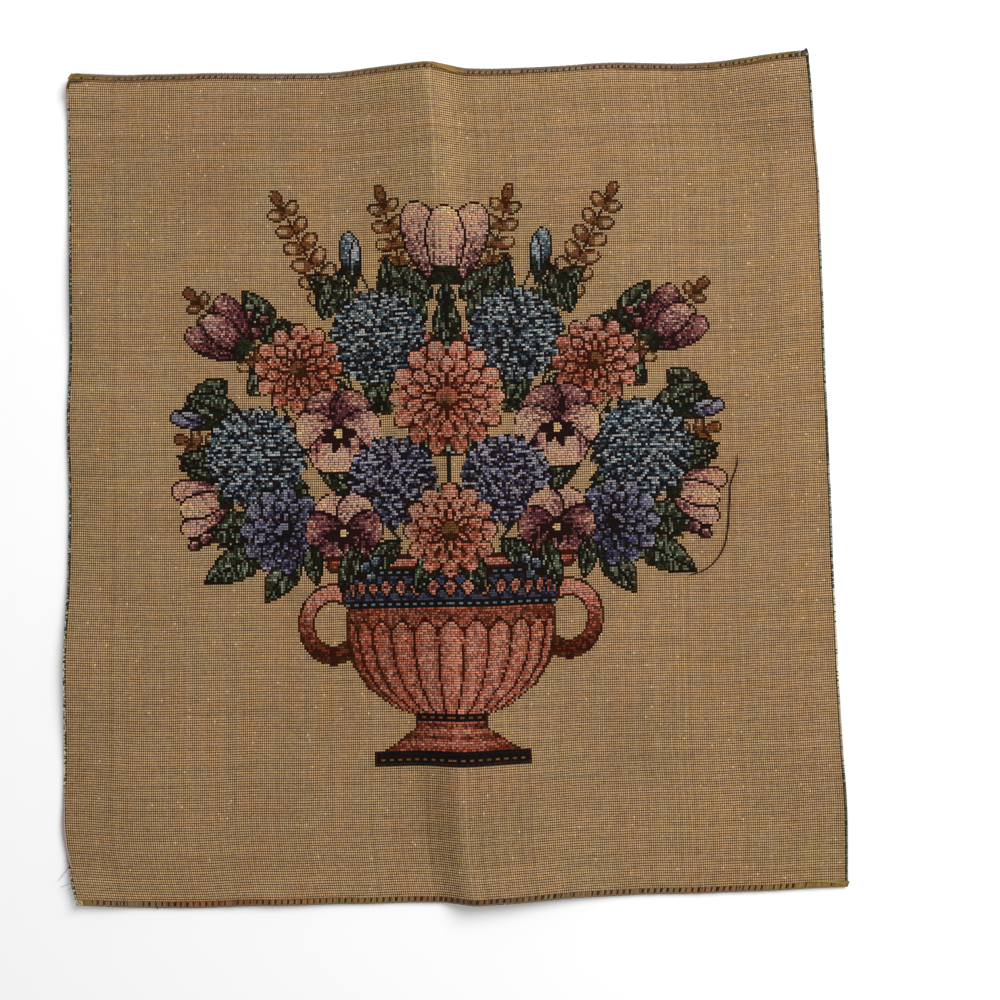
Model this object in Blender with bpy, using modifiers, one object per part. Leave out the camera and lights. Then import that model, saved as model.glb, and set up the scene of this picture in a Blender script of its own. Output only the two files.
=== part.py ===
"""Needlepoint canvas panel, lying face up on a flat surface.

One woven sheet, 457 mm wide and 500 mm long, with a thicker overlocked edge all
round. It was folded in half down its middle and opened again, so a raised
crease runs from the top edge to the bottom edge. The corners curl a little and
the sides ripple, and the rest of the sheet lies flat.
Metres, +Z up, +Y towards the top edge. The origin is under the middle of the sheet.
"""

import math

import bpy
import numpy

WIDTH = 0.457
LENGTH = 0.500
CLOTH_THICKNESS = 0.0015
EDGE_THICKNESS = 0.0024
EDGE_BAND = 0.0034

COLUMNS = 44
ROWS = 36
CREASE_CROWDING = 0.70

CLOTH_COLOUR = (0.31, 0.195, 0.096, 1.0)
CLOTH_ROUGHNESS = 0.92

# How far each edge stands outside the plain rectangle, at places along it from
# 0 to 1: from bottom to top for the sides, from left to right for the ends.
LEFT_EDGE = [
    {"along": 0.00, "out": -0.0092},
    {"along": 0.03, "out": -0.0050},
    {"along": 0.08, "out": -0.0004},
    {"along": 0.16, "out": -0.0002},
    {"along": 0.28, "out": -0.0004},
    {"along": 0.45, "out": -0.0019},
    {"along": 0.58, "out": -0.0004},
    {"along": 0.68, "out": -0.0022},
    {"along": 0.80, "out": -0.0008},
    {"along": 1.00, "out": 0.0003},
]
RIGHT_EDGE = [
    {"along": 0.00, "out": -0.0010},
    {"along": 0.10, "out": 0.0004},
    {"along": 0.17, "out": -0.0016},
    {"along": 0.28, "out": -0.0011},
    {"along": 0.45, "out": -0.0009},
    {"along": 0.70, "out": -0.0007},
    {"along": 0.90, "out": -0.0008},
    {"along": 1.00, "out": -0.0056},
]
TOP_EDGE = [
    {"along": 0.00, "out": -0.0008},
    {"along": 0.15, "out": -0.0004},
    {"along": 0.32, "out": -0.0018},
    {"along": 0.48, "out": -0.0006},
    {"along": 0.58, "out": -0.0012},
    {"along": 0.76, "out": -0.0001},
    {"along": 0.88, "out": -0.0010},
    {"along": 1.00, "out": 0.0014},
]
BOTTOM_EDGE = [
    {"along": 0.00, "out": -0.0036},
    {"along": 0.12, "out": -0.0002},
    {"along": 0.25, "out": -0.0003},
    {"along": 0.40, "out": -0.0002},
    {"along": 0.52, "out": 0.0004},
    {"along": 0.62, "out": -0.0010},
    {"along": 0.80, "out": -0.0016},
    {"along": 1.00, "out": -0.0032},
]

# The crease at places up the sheet from 0 to 1: where its crest is across the
# sheet, how high it stands, and how wide its left and right flanks are.
CREASE = [
    {"up": 0.00, "crest": 0.0092, "height": 0.0084, "left": 0.022, "right": 0.095},
    {"up": 0.12, "crest": 0.0068, "height": 0.0074, "left": 0.025, "right": 0.085},
    {"up": 0.30, "crest": 0.0036, "height": 0.0046, "left": 0.032, "right": 0.060},
    {"up": 0.55, "crest": 0.0002, "height": 0.0030, "left": 0.040, "right": 0.040},
    {"up": 0.80, "crest": -0.0030, "height": 0.0046, "left": 0.050, "right": 0.030},
    {"up": 0.93, "crest": -0.0053, "height": 0.0074, "left": 0.062, "right": 0.026},
    {"up": 1.00, "crest": -0.0068, "height": 0.0090, "left": 0.068, "right": 0.025},
]

# Low swells at the rim: the middle of each, how high it stands, and how far it
# reaches across and along the sheet.
SWELLS = [
    {"x": 0.2285, "y": 0.250, "height": 0.0090, "across": 0.085, "along": 0.060},
    {"x": -0.2285, "y": 0.250, "height": 0.0034, "across": 0.040, "along": 0.030},
    {"x": -0.2285, "y": -0.250, "height": 0.0030, "across": 0.045, "along": 0.035},
    {"x": -0.2285, "y": -0.115, "height": 0.0030, "across": 0.050, "along": 0.065},
    {"x": -0.2285, "y": 0.115, "height": 0.0016, "across": 0.040, "along": 0.055},
    {"x": 0.2285, "y": 0.100, "height": 0.0022, "across": 0.060, "along": 0.060},
    {"x": 0.2285, "y": -0.165, "height": 0.0026, "across": 0.060, "along": 0.060},
    {"x": 0.1050, "y": 0.250, "height": 0.0014, "across": 0.050, "along": 0.030},
    {"x": -0.1100, "y": -0.250, "height": 0.0012, "across": 0.050, "along": 0.026},
]


def clear_scene():
    for item in list(bpy.data.objects):
        bpy.data.objects.remove(item, do_unlink=True)


def read_table(table, key, column, place):
    """The value of a column at a place, on a smooth curve through the rows."""
    keys = [row[key] for row in table]
    values = [row[column] for row in table]
    slopes = numpy.gradient(values, keys)
    after = min(max(int(numpy.searchsorted(keys, place)), 1), len(keys) - 1)
    before = after - 1
    span = keys[after] - keys[before]
    share = (place - keys[before]) / span
    rise = share * share * (3.0 - 2.0 * share)
    start_bow = share * (1.0 - share) ** 2 * span
    end_bow = share * share * (1.0 - share) * span
    return float(
        values[before] + (values[after] - values[before]) * rise
        + slopes[before] * start_bow - slopes[after] * end_bow
    )


def crease_height(offset, up):
    """Height of the middle crease at an offset from its crest."""
    side = "left" if offset < 0.0 else "right"
    away = abs(offset) / read_table(CREASE, "up", side, up)
    if away >= 1.0:
        return 0.0
    return read_table(CREASE, "up", "height", up) * (1.0 - away) ** 2 * (1.0 + away)


def swell_height(x, y):
    """Height of the swells at the rim, where the highest one counts."""
    heights = [0.0]
    for swell in SWELLS:
        across = (x - swell["x"]) / swell["across"]
        along = (y - swell["y"]) / swell["along"]
        near = max(1.0 - math.hypot(across, along), 0.0)
        heights.append(swell["height"] * near * near * (3.0 - 2.0 * near))
    return max(heights)


def station(index, count, length, crowding):
    """Place of a grid line from 0 to length, with an edge band at both ends."""
    if index == 0:
        return 0.0
    if index == count:
        return length
    even = (index - 1) / (count - 2) - 0.5
    graded = even - crowding * math.sin(math.tau * even) / math.tau
    return EDGE_BAND + (graded + 0.5) * (length - 2.0 * EDGE_BAND)


def lie_on_surface(column, row):
    """Where a grid point of the sheet's underside lies."""
    y = station(row, ROWS, LENGTH, 0.0) - LENGTH / 2.0
    up = y / LENGTH + 0.5
    crest = read_table(CREASE, "up", "crest", up)

    # The middle grid line follows the crest, and the lines beside it less and less.
    x = station(column, COLUMNS, WIDTH, CREASE_CROWDING) - WIDTH / 2.0
    x += crest * (1.0 - 2.0 * abs(x) / WIDTH)
    across = x / WIDTH + 0.5

    left_out = read_table(LEFT_EDGE, "along", "out", up)
    right_out = read_table(RIGHT_EDGE, "along", "out", up)
    top_out = read_table(TOP_EDGE, "along", "out", across)
    bottom_out = read_table(BOTTOM_EDGE, "along", "out", across)
    return (
        x - (1.0 - across) * left_out + across * right_out,
        y - (1.0 - up) * bottom_out + up * top_out,
        max(crease_height(x - crest, up), swell_height(x, y)),
    )


def centre_on_origin(mesh):
    """Moves the sheet so that the middle of its outline is on the origin."""
    across = [vertex.co.x for vertex in mesh.vertices]
    along = [vertex.co.y for vertex in mesh.vertices]
    middle_x = (min(across) + max(across)) / 2.0
    middle_y = (min(along) + max(along)) / 2.0
    for vertex in mesh.vertices:
        vertex.co.x -= middle_x
        vertex.co.y -= middle_y


def cloth_material():
    material = bpy.data.materials.new("tan_wool_needlepoint")
    material.use_nodes = True
    shader = material.node_tree.nodes["Principled BSDF"]
    shader.inputs["Base Color"].default_value = CLOTH_COLOUR
    shader.inputs["Roughness"].default_value = CLOTH_ROUGHNESS
    shader.inputs["Metallic"].default_value = 0.0
    return material


def make_panel(collection):
    """The sheet: its underside laid out on a grid, thickened upwards, fuller at its edge."""
    bpy.ops.mesh.primitive_grid_add(x_subdivisions=COLUMNS, y_subdivisions=ROWS, size=1.0)
    panel = bpy.context.active_object
    panel.name = "panel"
    panel.data.name = "panel"
    for owner in list(panel.users_collection):
        owner.objects.unlink(panel)
    collection.objects.link(panel)

    edge = panel.vertex_groups.new(name="overlocked_edge")
    for vertex in panel.data.vertices:
        column = round((vertex.co.x + 0.5) * COLUMNS)
        row = round((vertex.co.y + 0.5) * ROWS)
        at_rim = column in (0, COLUMNS) or row in (0, ROWS)
        share = 1.0 if at_rim else CLOTH_THICKNESS / EDGE_THICKNESS
        edge.add([vertex.index], share, "REPLACE")
        vertex.co = lie_on_surface(column, row)
    centre_on_origin(panel.data)
    panel.data.shade_smooth()

    thickness = panel.modifiers.new("cloth_thickness", "SOLIDIFY")
    thickness.thickness = EDGE_THICKNESS
    thickness.vertex_group = edge.name
    thickness.offset = 1.0
    panel.data.materials.append(cloth_material())


def main():
    clear_scene()
    collection = bpy.data.collections.new("needlepoint_canvas_panel")
    bpy.context.scene.collection.children.link(collection)
    make_panel(collection)


main()
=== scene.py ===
import math

import bpy
import numpy as np
from mathutils import Euler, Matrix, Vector


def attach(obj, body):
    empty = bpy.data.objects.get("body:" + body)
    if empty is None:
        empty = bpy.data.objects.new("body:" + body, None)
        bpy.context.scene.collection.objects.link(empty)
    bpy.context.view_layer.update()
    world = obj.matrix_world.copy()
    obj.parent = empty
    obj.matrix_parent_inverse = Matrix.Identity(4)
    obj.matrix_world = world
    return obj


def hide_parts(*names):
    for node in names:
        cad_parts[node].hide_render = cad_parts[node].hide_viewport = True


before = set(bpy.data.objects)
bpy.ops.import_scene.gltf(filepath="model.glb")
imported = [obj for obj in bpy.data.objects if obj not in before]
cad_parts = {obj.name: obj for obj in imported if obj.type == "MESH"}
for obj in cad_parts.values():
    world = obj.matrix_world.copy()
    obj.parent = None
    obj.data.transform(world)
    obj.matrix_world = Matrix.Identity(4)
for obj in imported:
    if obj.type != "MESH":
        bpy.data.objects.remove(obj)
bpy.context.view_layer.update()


# The cloth: one piece of firm woven wool and cotton, 18 in wide, with 366 columns and
# 346 rows of stitches. It was kept folded down its middle, and the fold still stands up.
# It lies free on the surface, flat but for that fold, its rippled sides and its corners.
WIDTH, LENGTH = 0.457, 0.500
COLUMNS, ROWS = 366, 346
COLUMN_PITCH, ROW_PITCH = WIDTH / COLUMNS, LENGTH / ROWS
CLOTH_TOP = 0.0010
RIM_LIFT, RIM_BAND = 0.00045, 0.005
CREST_ROUNDING = 0.0022
SLOPE_STEP = 0.0005
SHEET_COLUMNS, SHEET_ROWS = 160, 112
SHEET_INSET = 0.0005
WEAVE_WANDER = 0.00028
DESIGN_DARKENING = 0.85
BACKING_DYES = {0.30: (56, 33, 8), 0.95: (108, 73, 33)}
BACKING_FLOAT_STRETCH = (0.11, 0.9, 1.0)
# How strongly painted shade darkens the backing in the gaps between the stitches.
GAP_SHADE_CONTRAST = 0.35
YARN_GLOSS, FIBRE_BUMP = 0.04, 0.6
LEAST_ROUGHNESS, ROUGHNESS_RANGE = 0.68, 0.3

# How far each edge stands out (second), by the share of the way along it (first).
LEFT_EDGE = (
    (0.00, -0.0092), (0.03, -0.0050), (0.08, -0.0004), (0.16, -0.0002), (0.28, -0.0004), (0.45, -0.0019),
    (0.58, -0.0004), (0.68, -0.0022), (0.80, -0.0008), (0.97, 0.0002), (0.985, 0.0000), (1.00, -0.0028),
)
RIGHT_EDGE = (
    (0.00, -0.0010), (0.10, 0.0004), (0.17, -0.0016), (0.28, -0.0011),
    (0.45, -0.0009), (0.70, -0.0007), (0.90, -0.0008), (1.00, -0.0056),
)
TOP_EDGE = (
    (0.00, -0.0008), (0.15, -0.0004), (0.32, -0.0018), (0.48, -0.0006),
    (0.58, -0.0012), (0.76, -0.0001), (0.88, -0.0010), (1.00, 0.0014),
)
BOTTOM_EDGE = (
    (0.00, -0.0036), (0.12, -0.0002), (0.25, -0.0003), (0.40, -0.0002),
    (0.52, 0.0004), (0.62, -0.0010), (0.80, -0.0016), (1.00, -0.0032),
)
# The fold, by the share of the way up: where its crest is, its height and how far it
# reaches to the left and to the right.
CREASE = (
    (0.00, 0.0092, 0.0084, 0.022, 0.095), (0.12, 0.0068, 0.0074, 0.025, 0.085),
    (0.30, 0.0036, 0.0046, 0.032, 0.060), (0.55, 0.0002, 0.0030, 0.040, 0.040),
    (0.80, -0.0030, 0.0046, 0.050, 0.030), (0.93, -0.0053, 0.0074, 0.062, 0.026),
    (1.00, -0.0068, 0.0090, 0.068, 0.025),
)
# The lifted corners and ripples: the place of each, its height, and its reach both ways.
SWELLS = (
    (0.2285, 0.250, 0.0090, 0.085, 0.060), (-0.2285, 0.250, 0.0034, 0.040, 0.030),
    (-0.2285, -0.250, 0.0030, 0.045, 0.035), (-0.2285, -0.115, 0.0030, 0.050, 0.065),
    (-0.2285, 0.115, 0.0016, 0.040, 0.055), (0.2285, 0.100, 0.0022, 0.060, 0.060),
    (0.2285, -0.165, 0.0026, 0.060, 0.060), (0.1050, 0.250, 0.0014, 0.050, 0.030),
    (-0.1100, -0.250, 0.0012, 0.050, 0.026),
)


def read_table(table, places, column=1):
    """The values of a column at many places, on a smooth curve through the rows."""
    keys = np.array([row[0] for row in table])
    values = np.array([row[column] for row in table])
    slopes = np.gradient(values, keys)
    places = np.clip(places, keys[0], keys[-1])
    after = np.clip(np.searchsorted(keys, places), 1, len(keys) - 1)
    before = after - 1
    span = keys[after] - keys[before]
    share = (places - keys[before]) / span
    rise = share * share * (3.0 - 2.0 * share)
    start_bow = share * (1.0 - share) ** 2 * span
    end_bow = share * share * (1.0 - share) * span
    return (
        values[before] + (values[after] - values[before]) * rise
        + slopes[before] * start_bow - slopes[after] * end_bow
    )


def cloth_height(x, y):
    """How high the underside of the cloth stands over a place on the flat cloth."""
    up = y / LENGTH + 0.5
    crest, top, left, right = (read_table(CREASE, up, column) for column in (1, 2, 3, 4))
    offset = x - crest
    away = (np.sqrt(offset ** 2 + CREST_ROUNDING ** 2) - CREST_ROUNDING) / np.where(offset < 0.0, left, right)
    away = np.minimum(away, 1.0)
    height = top * (1.0 - away) ** 2 * (1.0 + away)
    for swell_x, swell_y, swell_height, across, along in SWELLS:
        near = np.clip(1.0 - np.hypot((x - swell_x) / across, (y - swell_y) / along), 0.0, 1.0)
        height = np.maximum(height, swell_height * near * near * (3.0 - 2.0 * near))
    return height


def place_outline(x, y):
    """Where a place on the flat cloth lies once its edges have pulled in and out."""
    across, up = x / WIDTH + 0.5, y / LENGTH + 0.5
    laid_x = x - (1.0 - across) * read_table(LEFT_EDGE, up) + across * read_table(RIGHT_EDGE, up)
    laid_y = y - (1.0 - up) * read_table(BOTTOM_EDGE, across) + up * read_table(TOP_EDGE, across)
    return laid_x, laid_y


side_line = np.linspace(-0.5, 0.5, 201)
level = side_line * 0
outline_x, outline_y = place_outline(
    np.concatenate([side_line * WIDTH, side_line * WIDTH, level - WIDTH / 2, level + WIDTH / 2]),
    np.concatenate([level - LENGTH / 2, level + LENGTH / 2, side_line * LENGTH, side_line * LENGTH]),
)
MIDDLE_X = (outline_x.min() + outline_x.max()) / 2.0
MIDDLE_Y = (outline_y.min() + outline_y.max()) / 2.0


def settle(flat):
    """Lays points of the flat cloth, with their heights over its underside, on its folds."""
    x, y, over = flat.T
    wander_x = WEAVE_WANDER * (np.sin(y * 41.0 + 1.0) * 0.6 + np.sin(y * 97.0 + x * 19.0) * 0.4)
    wander_y = WEAVE_WANDER * (np.sin(x * 53.0 + 2.0) * 0.6 + np.sin(x * 131.0 - y * 23.0) * 0.4)
    laid_x, laid_y = place_outline(x + wander_x, y + wander_y)
    slope_x = (cloth_height(x + SLOPE_STEP, y) - cloth_height(x - SLOPE_STEP, y)) / (2 * SLOPE_STEP)
    slope_y = (cloth_height(x, y + SLOPE_STEP) - cloth_height(x, y - SLOPE_STEP)) / (2 * SLOPE_STEP)
    normal = np.stack([-slope_x, -slope_y, np.ones_like(x)], axis=1)
    normal /= np.linalg.norm(normal, axis=1, keepdims=True)
    laid = np.stack([laid_x - MIDDLE_X, laid_y - MIDDLE_Y, cloth_height(x, y)], axis=1)
    return laid + normal * over[:, None]


def add_flat_map(mesh, name, x_share, y_share):
    """Gives each corner its place on the flat cloth as a map."""
    corner_vertex = np.empty(len(mesh.loops), dtype=np.int32)
    mesh.loops.foreach_get("vertex_index", corner_vertex)
    spots = np.stack([x_share[corner_vertex], y_share[corner_vertex]], axis=1)
    mesh.uv_layers.new(name=name).data.foreach_set("uv", spots.astype(np.float32).ravel())


def settle_piece(mesh, baked_flat=False):
    """Maps a flat mesh in columns and rows of stitches, then lays it on the folds."""
    points = np.empty(len(mesh.vertices) * 3)
    mesh.vertices.foreach_get("co", points)
    flat = points.reshape(-1, 3)
    add_flat_map(mesh, "stitch_grid", flat[:, 0] / COLUMN_PITCH, flat[:, 1] / ROW_PITCH)
    if baked_flat:
        add_flat_map(mesh, "OFBake", flat[:, 0] / WIDTH + 0.5, flat[:, 1] / LENGTH + 0.5)
    mesh.vertices.foreach_set("co", settle(flat).ravel())
    mesh.update()


def show_piece(name, mesh):
    piece = bpy.data.objects.new(name, mesh)
    bpy.context.scene.collection.objects.link(piece)
    return piece


def from_dyer(red, green, blue):
    """A colour written as on a shade card, from 0 to 255, as the render wants it."""
    shares = np.array([red, green, blue]) / 255.0
    return np.where(shares <= 0.04045, shares / 12.92, ((shares + 0.055) / 1.055) ** 2.4)


def new_material(name):
    """A new material, its nodes and its main shader."""
    material = bpy.data.materials.new(name)
    material.use_nodes = True
    return material, material.node_tree, material.node_tree.nodes["Principled BSDF"]


def set_inputs(tree, node, values):
    """Sets each input of a node to a value, or links it to another node's output."""
    for name, value in values.items():
        if isinstance(value, bpy.types.NodeSocket):
            tree.links.new(value, node.inputs[name])
        else:
            node.inputs[name].default_value = value


def add_node(tree, kind, inputs=None, **settings):
    node = tree.nodes.new(kind)
    for setting, value in settings.items():
        setattr(node, setting, value)
    set_inputs(tree, node, inputs or {})
    return node


def math_node(tree, operation, first, second=None, clamp=False):
    inputs = {0: first} if second is None else {0: first, 1: second}
    return add_node(tree, "ShaderNodeMath", inputs, operation=operation, use_clamp=clamp).outputs[0]


def new_tree(name, kind, takes, gives):
    """A node tree whose sockets are named, each with its kind or with its usual number."""
    tree = bpy.data.node_groups.new(name, kind)
    for direction, sockets in (("INPUT", takes), ("OUTPUT", gives)):
        for label, value in sockets.items():
            socket_kind = {float: "Float", int: "Int"}.get(type(value), value)
            socket = tree.interface.new_socket(
                label, in_out=direction, socket_type="NodeSocket" + socket_kind
            )
            if socket_kind != value:
                socket.default_value = value
    return tree, tree.nodes.new("NodeGroupInput").outputs, tree.nodes.new("NodeGroupOutput")


def spun_yarn_group():
    """Fibre of spun yarn: streaks that lie along the thread, for colour, roughness and height."""
    group, given, made = new_tree(
        "spun_yarn", "ShaderNodeTree",
        {"Place": "Vector", "Colour": "Color", "Streaks": 3.0, "Depth": 0.3},
        {"Colour": "Color", "Roughness": "Float", "Height": "Float"},
    )
    fibre = add_node(group, "ShaderNodeTexNoise", {
        "Vector": given["Place"], "Scale": given["Streaks"], "Detail": 3.0, "Roughness": 0.65,
    }).outputs[0]
    swing = math_node(group, "MULTIPLY", math_node(group, "SUBTRACT", fibre, 0.5), given["Depth"])
    bright = math_node(group, "ADD", math_node(group, "MULTIPLY", swing, 2.0), 1.0)
    tint = add_node(
        group, "ShaderNodeVectorMath", {0: given["Colour"], "Scale": bright}, operation="SCALE"
    )
    rough = math_node(group, "MULTIPLY", fibre, ROUGHNESS_RANGE)
    set_inputs(group, made, {
        "Colour": tint.outputs[0],
        "Roughness": math_node(group, "ADD", rough, LEAST_ROUGHNESS, True),
        "Height": fibre,
    })
    return group


spun_yarn = spun_yarn_group()


def mapped_place(tree, scale):
    """The piece's own map of stitches, stretched, as the place that a pattern reads."""
    own_map = add_node(tree, "ShaderNodeUVMap", uv_map="stitch_grid")
    return add_node(tree, "ShaderNodeMapping", {"Vector": own_map.outputs[0], "Scale": scale}).outputs[0]


def dress_in_yarn(tree, shader, colour, stretch, streaks, depth, bump_distance):
    """Spins fibre into a shader's colour, roughness and surface."""
    fibre = add_node(tree, "ShaderNodeGroup", {
        "Place": mapped_place(tree, stretch), "Colour": colour, "Streaks": streaks, "Depth": depth,
    }, node_tree=spun_yarn).outputs
    bump = add_node(tree, "ShaderNodeBump", {
        "Height": fibre["Height"], "Distance": bump_distance, "Strength": FIBRE_BUMP,
    })
    set_inputs(tree, shader, {
        "Base Color": fibre["Colour"], "Roughness": fibre["Roughness"],
        "Specular IOR Level": YARN_GLOSS, "Normal": bump.outputs["Normal"],
    })


def ground_cloth():
    """Warp and weft between and behind the stitches: brown, with pale floats, and ribbed both ways in painted
    shade that is darkest in the gaps between the stitches.
    """
    material, tree, shader = new_material("woven_backing")
    own_map = add_node(tree, "ShaderNodeUVMap", uv_map="stitch_grid")
    split = add_node(tree, "ShaderNodeSeparateXYZ", {0: own_map.outputs[0]}).outputs
    # Painted shade: the backing is darkest in the gaps between the stitches and lightest under them.
    rib, pick = (
        math_node(tree, "ABSOLUTE", math_node(tree, "SINE", math_node(tree, "MULTIPLY", along, math.pi)))
        for along in (split[0], split[1])
    )
    painted_gap_shade = math_node(tree, "MULTIPLY", math_node(tree, "MULTIPLY", rib, pick), GAP_SHADE_CONTRAST)
    floats = add_node(tree, "ShaderNodeTexNoise", {
        "Vector": mapped_place(tree, BACKING_FLOAT_STRETCH), "Scale": 1.0, "Detail": 2.0,
    })
    shade = math_node(tree, "ADD", painted_gap_shade, floats.outputs[0])
    colours = add_node(tree, "ShaderNodeValToRGB", {0: shade})
    for stop, (position, dye) in zip(colours.color_ramp.elements, BACKING_DYES.items()):
        stop.position = position
        stop.color = (*from_dyer(*dye), 1.0)
    behind = add_node(tree, "ShaderNodeAttribute", attribute_name="behind_design").outputs["Fac"]
    kept = math_node(tree, "SUBTRACT", 1.0, math_node(tree, "MULTIPLY", behind, DESIGN_DARKENING))
    dyed = add_node(
        tree, "ShaderNodeVectorMath", {0: colours.outputs[0], "Scale": kept}, operation="SCALE"
    )
    dress_in_yarn(
        tree, shader, dyed.outputs[0],
        stretch=(1.0, 1.0, 1.0), streaks=2.5, depth=0.35, bump_distance=0.0001,
    )
    return material


def cloth_sheet():
    """A closed sheet on a grid, with its rim a little off the surface for the edge threads."""
    xs = np.linspace(-0.5, 0.5, SHEET_COLUMNS + 1) * (WIDTH - 2.0 * SHEET_INSET)
    ys = np.linspace(-0.5, 0.5, SHEET_ROWS + 1) * (LENGTH - 2.0 * SHEET_INSET)
    grid_x, grid_y = np.meshgrid(xs, ys)
    from_rim = np.minimum(WIDTH / 2.0 - np.abs(grid_x), LENGTH / 2.0 - np.abs(grid_y))
    lift = RIM_LIFT * (1.0 - np.clip(from_rim / RIM_BAND, 0.0, 1.0))
    count = grid_x.size
    points = np.concatenate([
        np.stack([grid_x.ravel(), grid_y.ravel(), np.full(count, CLOTH_TOP)], axis=1),
        np.stack([grid_x.ravel(), grid_y.ravel(), lift.ravel()], axis=1),
    ])
    number = np.arange(count).reshape(grid_x.shape)
    corners = [number[:-1, :-1], number[:-1, 1:], number[1:, 1:], number[1:, :-1]]
    face = np.stack([corner.ravel() for corner in corners], axis=1)
    back = face[:, ::-1] + count
    ring = np.concatenate([number[0, :-1], number[:-1, -1], number[-1, :0:-1], number[:0:-1, 0]])
    following = np.roll(ring, -1)
    rim = np.stack([ring + count, following + count, following, ring], axis=1)
    mesh = bpy.data.meshes.new("cloth")
    mesh.from_pydata(points.tolist(), [], np.concatenate([face, back, rim]).tolist())
    mesh.shade_smooth()
    settle_piece(mesh)
    mesh.materials.append(ground_cloth())
    mesh.attributes.new("behind_design", "FLOAT", "POINT")
    return show_piece("cloth", mesh)


cloth = cloth_sheet()
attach(cloth, "root")
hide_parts("panel")


# The stitch chart: one colour of yarn for each crossing of a column and a row. The ground is
# tan, and the design is an urn of flowers, the same on both sides of the middle, worked in
# blues, violets, mauves, rose, coral and greens with dark outlines. Sizes are in millimetres.
YARNS = {
    "ground": (184, 153, 114), "black": (6, 8, 5), "navy": (7, 10, 16), "ink": (20, 32, 42),
    "slate": (56, 70, 80), "sky": (92, 107, 114), "mist": (154, 159, 158), "indigo": (24, 24, 44),
    "violet": (58, 56, 80), "lavender": (110, 106, 124), "plum": (28, 8, 13),
    "mauve": (86, 42, 52), "rose": (138, 86, 82), "blush": (188, 144, 124),
    "maroon": (54, 15, 7), "rust": (102, 42, 26), "coral": (156, 84, 64),
    "salmon": (192, 126, 102), "bark": (54, 25, 10), "brown": (112, 66, 36),
    "straw": (204, 168, 116), "bottle": (14, 22, 14), "moss": (36, 46, 32), "sage": (92, 98, 78),
    "lichen": (144, 146, 124), "pearl": (146, 142, 152),
}
YARN_NAMES = list(YARNS)
BLUES = ("navy", "ink", "slate", "sky", "mist")
VIOLETS = ("navy", "indigo", "violet", "lavender", "pearl")
MAUVES = ("plum", "plum", "mauve", "rose", "blush")
ROSES = ("plum", "mauve", "rose", "blush", "blush", "straw")
CORALS = ("maroon", "rust", "coral", "salmon", "blush")
GREENS = ("black", "bottle", "moss", "sage")
BROWNS = ("bark", "brown", "brown", "ground")
TERRACOTTA = ("maroon", "rust", "coral", "salmon")

right, up = np.meshgrid(
    ((np.arange(COLUMNS) + 0.5) * COLUMN_PITCH - WIDTH / 2.0) * 1000.0,
    ((np.arange(ROWS) + 0.5) * ROW_PITCH - LENGTH / 2.0) * 1000.0,
)
beside = np.abs(right)
chart = np.zeros((ROWS, COLUMNS), dtype=int)


def dash_pattern(seed, swing, length=2):
    """Chance light and dark dashes, so many stitches long, that break up a shaded area."""
    runs = np.random.default_rng(seed).random((ROWS, COLUMNS // length + 2))
    rows = [np.repeat(runs[row], length)[row % length:row % length + COLUMNS] for row in range(ROWS)]
    return (np.array(rows) - 0.5) * swing


dashes = dash_pattern(21, 0.26) + (np.random.default_rng(30).random((ROWS, COLUMNS)) - 0.5) * 0.30
frills = dash_pattern(34, 1.0) - 0.24 * (np.arange(ROWS) % 2)[:, None]
flecks = np.repeat(np.random.default_rng(8).random((ROWS // 2, COLUMNS)), 2, axis=0) < 0.36


def shade_in(inside, yarns, shade):
    """Works an area in a run of yarns from dark to light, where shade runs from 0 to 1."""
    steps = np.clip(((shade + dashes) * len(yarns)).astype(int), 0, len(yarns) - 1)
    codes = np.array([YARN_NAMES.index(name) for name in yarns])
    chart[inside] = codes[steps][inside]


def fill_in(inside, yarn):
    chart[inside] = YARN_NAMES.index(yarn)


def from_motif(x, y, degrees):
    """Distances along and across a motif that starts at x, y and points at an angle."""
    turn = math.radians(degrees)
    dx, dy = beside - x, up - y
    return dx * math.cos(turn) + dy * math.sin(turn), dy * math.cos(turn) - dx * math.sin(turn)


def from_heart(x, y):
    """Distances right and up from a flower's heart, its distance away, and its bearing."""
    dx, dy = beside - x, up - y
    return dx, dy, np.hypot(dx, dy), np.arctan2(dy, dx)


def stem(points, thick=1.5, yarn="bottle"):
    for (x0, y0), (x1, y1) in zip(points, points[1:]):
        span = math.hypot(x1 - x0, y1 - y0)
        share = np.clip(((beside - x0) * (x1 - x0) + (up - y0) * (y1 - y0)) / span ** 2, 0.0, 1.0)
        away = np.hypot(beside - x0 - share * (x1 - x0), up - y0 - share * (y1 - y0))
        fill_in(away < thick / 2.0, yarn)


def leaf(x, y, degrees, length, width):
    """Toothed leaf with a dark rim, slanting veins and pale upright flecks."""
    along, across = from_motif(x, y, degrees)
    share = np.clip(along / length, 0.0, 1.0)
    teeth = 1.0 + 0.12 * np.abs(np.sin(share * math.pi * length / 7.0))
    half = width / 2.0 * np.sin(math.pi * share ** 0.8) ** 0.85 * teeth
    inside = (along > 0.0) & (along < length) & (np.abs(across) < half)
    shade_in(inside, GREENS, np.where(across > 0.0, 0.58, 0.34) + 0.12 * share)
    fill_in(inside & flecks & (np.abs(across) < half - 1.6), "sage")
    veins = ((along - 1.1 * np.abs(across)) % 6.5 < 1.4) & (np.abs(across) < half - 1.8)
    fill_in(inside & veins, "bottle")
    fill_in(inside & veins & flecks, "lichen")
    fill_in(inside & (np.abs(across) > half - 1.35), "black")
    fill_in(inside & (np.abs(across) < 0.7), "black")


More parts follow.
